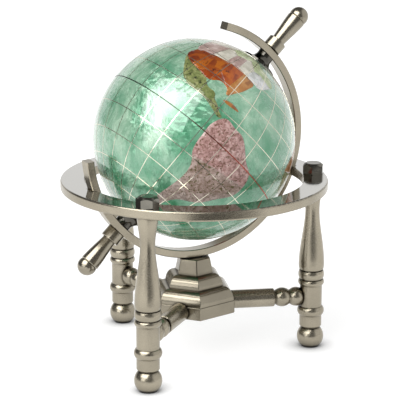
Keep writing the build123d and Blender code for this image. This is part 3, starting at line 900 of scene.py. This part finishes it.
class GLOBE_OT_meridian_finish(bpy.types.Operator):
    """Finish the meridian arc and what is on the poles"""

    bl_idname = "globe.meridian_finish"
    bl_label = "Meridian finish"

    def execute(self, context):
        metal = context.scene.globe_metal
        dress(arc_nickel(metal), "meridian_arc")
        dark = [part * 0.5 for part in metal.black_colour]
        black = polished_plate("pole_black_nickel", dark, metal.bright_roughness)
        bright = polished_plate("grip_nickel", tuple(metal.grip_colour), metal.grip_roughness)
        for end in ENDS:
            dress(black, f"pole_cone_{end}")
            dress(bright, f"pole_collar_{end}", f"pole_grip_{end}")
        return {"FINISHED"}


class GLOBE_OT_inner_finish(bpy.types.Operator):
    """Finish the rods, studs, bushings, pads and core"""

    bl_idname = "globe.inner_finish"
    bl_label = "Inner pieces"

    def execute(self, context):
        steel = turned_metal("plain_steel", (0.45, 0.45, 0.46), 0.35)
        brass = turned_metal("bushing_brass", (0.62, 0.44, 0.16), 0.30)
        rubber = soft_matter("pad_rubber", (0.012, 0.012, 0.012), (0.03, 0.03, 0.03), 0.8, 0.85, 0.08)
        felt = soft_matter("saddle_felt", (0.010, 0.010, 0.010), (0.035, 0.033, 0.030), 0.4, 0.97, 0.2)
        resin = soft_matter("core_resin", (0.50, 0.47, 0.38), (0.60, 0.57, 0.48), 4.0, 0.55, 0.05)
        dress(steel, "pedestal_bolt", *[f"tie_rod_{side}" for side in SIDES])
        dress(steel, *[f"stretcher_stud_{side}" for side in SIDES], *[f"pole_pin_{end}" for end in ENDS])
        dress(brass, *[f"pole_bushing_{end}" for end in ENDS])
        dress(rubber, *[f"foot_pad_{side}" for side in SIDES])
        dress(felt, "saddle_pad")
        dress(resin, "globe_core")
        return {"FINISHED"}


class GLOBE_OT_stage(bpy.types.Operator):
    """Set up the floor, the studio light and the camera"""

    bl_idname = "globe.stage"
    bl_label = "Studio"

    def execute(self, context):
        stage = context.scene.globe_stage
        self.floor()
        self.flag()
        self.room(context.scene, stage)
        self.camera(context.scene, stage)
        self.softbox("key_softbox", -69, 48, 1.1, (1.15, 1.05), stage.key_power)
        self.softbox("side_softbox", -70, 9, 1.3, (0.8, 0.4), stage.key_power * 0.14)
        self.softbox("camera_fill", -10, 22, 1.6, (1.5, 1.0), stage.fill_power, shine=False)
        self.softbox("top_fill", 60, 70, 1.8, (2.0, 2.0), stage.fill_power, shine=False)
        context.scene.view_settings.view_transform = "Standard"
        return {"FINISHED"}

    def direction(self, azimuth, elevation):
        """The way out from the globe at an azimuth and elevation in degrees; 0, 0 is -Y."""
        a, e = radians(azimuth), radians(elevation)
        return Vector((sin(a) * cos(e), -cos(a) * cos(e), sin(e)))

    def floor(self):
        """A pale paper floor that glows more away from the globe, with a painted contact shadow close to
        what stands on it.
        """
        mesh = bmesh.new()
        bmesh.ops.create_grid(mesh, x_segments=1, y_segments=1, size=12.0)
        data = bpy.data.meshes.new("floor")
        mesh.to_mesh(data)
        mesh.free()
        finish = Finish("floor_paper")
        grain = finish.noise(finish.place(), size=3.0, detail=2.0).outputs["Fac"]
        finish.shade(base_color=finish.ramp(grain, [(0.3, (0.34, 0.34, 0.34)), (0.7, (0.36, 0.36, 0.36))]))
        finish.shader.inputs["Roughness"].default_value = 0.9
        finish.shader.inputs["Specular IOR Level"].default_value = 0.1
        reach = finish.length(finish.place())
        glow = finish.ramp(finish.math("MULTIPLY", reach, 0.5), [(0.06, 0.76), (0.30, 0.95)])
        # painted contact shadow: the floor's glow darkens close to what stands on it
        near = finish.node("ShaderNodeAmbientOcclusion", {"Distance": 14 * MM}, samples=8).outputs["AO"]
        painted_contact_shadow = finish.ramp(near, [(0.35, 0.10), (1.0, 1.0)])
        finish.shade(emission_color=finish.mix(1.0, glow, painted_contact_shadow, "MULTIPLY"))
        finish.shader.inputs["Emission Strength"].default_value = 1.0
        data.materials.append(finish.material)
        floor = bpy.data.objects.new("floor", data)
        bpy.context.scene.collection.objects.link(floor)

    def room(self, scene, stage):
        """A dim room with a white backdrop behind and a pale wall on the right."""
        world = bpy.data.worlds.new("studio_room")
        scene.world = world
        world.use_nodes = True
        tree = world.node_tree

        def node(kind, inputs, **settings):
            made = tree.nodes.new(kind)
            for key, value in settings.items():
                setattr(made, key, value)
            for socket, value in inputs.items():
                if isinstance(value, bpy.types.NodeSocket):
                    tree.links.new(value, made.inputs[socket])
                else:
                    made.inputs[socket].default_value = value
            return made

        def ease(value, low, high, start, end):
            inputs = {"Value": value, "From Min": low, "From Max": high, "To Min": start, "To Max": end}
            return node("ShaderNodeMapRange", inputs, interpolation_type="SMOOTHSTEP").outputs["Result"]

        place = node("ShaderNodeTexCoord", {}).outputs["Generated"]
        dot = {0: place, 1: self.direction(-28, 5)}
        toward = node("ShaderNodeVectorMath", dot, operation="DOT_PRODUCT").outputs["Value"]
        height = node("ShaderNodeSeparateXYZ", {"Vector": place}).outputs["Z"]
        behind = ease(toward, -0.55, -0.80, 0.0, 1.0)
        low = ease(height, 0.36, 0.52, 1.0, 0.0)
        backdrop = node("ShaderNodeMath", {0: behind, 1: low}, operation="MULTIPLY").outputs[0]
        right = {0: place, 1: self.direction(66, 12)}
        beside = node("ShaderNodeVectorMath", right, operation="DOT_PRODUCT").outputs["Value"]
        wall = ease(beside, 0.50, 0.78, 0.06, 1.05)
        dim = ease(toward, 0.35, 0.85, 0.16, 0.24)
        light = node("ShaderNodeMath", {0: backdrop, 1: dim}, operation="MAXIMUM").outputs[0]
        light = node("ShaderNodeMath", {0: light, 1: wall}, operation="MAXIMUM").outputs[0]
        seen = node("ShaderNodeLightPath", {}).outputs["Is Camera Ray"]
        light = node("ShaderNodeMath", {0: light, 1: seen}, operation="MAXIMUM").outputs[0]
        tree.links.new(light, tree.nodes["Background"].inputs["Color"])
        tree.nodes["Background"].inputs["Strength"].default_value = stage.room_light

    def camera(self, scene, stage):
        data = bpy.data.cameras.new("camera")
        data.lens = stage.lens
        camera = bpy.data.objects.new("camera", data)
        scene.collection.objects.link(camera)
        a, e = stage.azimuth, stage.elevation
        back = Vector((sin(a) * cos(e), -cos(a) * cos(e), sin(e)))
        pan, nod, roll = radians(0.183), radians(-1.892), radians(0.142)
        camera.location = BALL_CENTRE + back * stage.distance
        camera.rotation_mode = "QUATERNION"
        camera.rotation_quaternion = (
            (-back).to_track_quat("-Z", "Y")
            @ Quaternion((0, 1, 0), -pan)
            @ Quaternion((1, 0, 0), nod)
            @ Quaternion((0, 0, 1), roll)
        )
        scene.camera = camera

    def flag(self):
        """A dark card on the floor in front, seen only by shiny surfaces."""
        mesh = bmesh.new()
        bmesh.ops.create_grid(mesh, x_segments=1, y_segments=1, size=1.0)
        toward = self.direction(-28, 0)
        turn = toward.to_track_quat("Y", "Z").to_matrix().to_4x4()
        middle = toward * 1.1 + self.direction(62, 0) * 0.27 + Vector((0, 0, 3 * MM))
        place = Matrix.Translation(middle) @ turn @ Matrix.Diagonal((0.31, 0.75, 1.0, 1.0))
        bmesh.ops.transform(mesh, matrix=place, verts=mesh.verts)
        data = bpy.data.meshes.new("front_flag")
        mesh.to_mesh(data)
        mesh.free()
        finish = Finish("flag_cloth", base_color=(0.02, 0.02, 0.02, 1), roughness=1.0)
        data.materials.append(finish.material)
        card = bpy.data.objects.new("front_flag", data)
        bpy.context.scene.collection.objects.link(card)
        card.visible_camera = False
        card.visible_diffuse = False
        card.visible_shadow = False

    def softbox(self, name, azimuth, elevation, distance, size, power, shine=True):
        """An area light that faces the globe; without shine it isn't seen in reflections."""
        data = bpy.data.lights.new(name, "AREA")
        data.shape = "RECTANGLE"
        data.size, data.size_y = size
        data.energy = power
        light = bpy.data.objects.new(name, data)
        bpy.context.scene.collection.objects.link(light)
        out = self.direction(azimuth, elevation)
        light.location = BALL_CENTRE + out * distance
        light.rotation_mode = "QUATERNION"
        light.rotation_quaternion = (-out).to_track_quat("-Z", "Y")
        light.visible_glossy = shine


STEPS = ("ocean", "land", "wires", "stand_finish", "meridian_finish", "inner_finish", "stage")


class GLOBE_PT_panel(bpy.types.Panel):
    """Lists the steps and their settings."""

    bl_idname = "GLOBE_PT_panel"
    bl_label = "Desktop globe"
    bl_space_type = "VIEW_3D"
    bl_region_type = "UI"
    bl_category = "Globe"

    def draw(self, context):
        layout = self.layout
        for step in STEPS:
            layout.operator(f"globe.{step}")
        for group in (context.scene.globe_ball, context.scene.globe_metal, context.scene.globe_stage):
            box = layout.box()
            for name in group.bl_rna.properties.keys():
                if name not in ("rna_type", "name"):
                    box.prop(group, name)


CLASSES = (
    GlobeBallSettings, GlobeMetalSettings, GlobeStageSettings,
    GLOBE_OT_ocean, GLOBE_OT_land, GLOBE_OT_wires, GLOBE_OT_stand_finish, GLOBE_OT_meridian_finish,
    GLOBE_OT_inner_finish, GLOBE_OT_stage, GLOBE_PT_panel,
)


def register():
    for made in CLASSES:
        bpy.utils.register_class(made)
    bpy.types.Scene.globe_ball = PointerProperty(type=GlobeBallSettings)
    bpy.types.Scene.globe_metal = PointerProperty(type=GlobeMetalSettings)
    bpy.types.Scene.globe_stage = PointerProperty(type=GlobeStageSettings)


def unregister():
    del bpy.types.Scene.globe_ball
    del bpy.types.Scene.globe_metal
    del bpy.types.Scene.globe_stage
    for made in reversed(CLASSES):
        bpy.utils.unregister_class(made)


def main():
    register()
    for step in STEPS:
        getattr(bpy.ops.globe, step)()


if __name__ == "__main__":
    main()
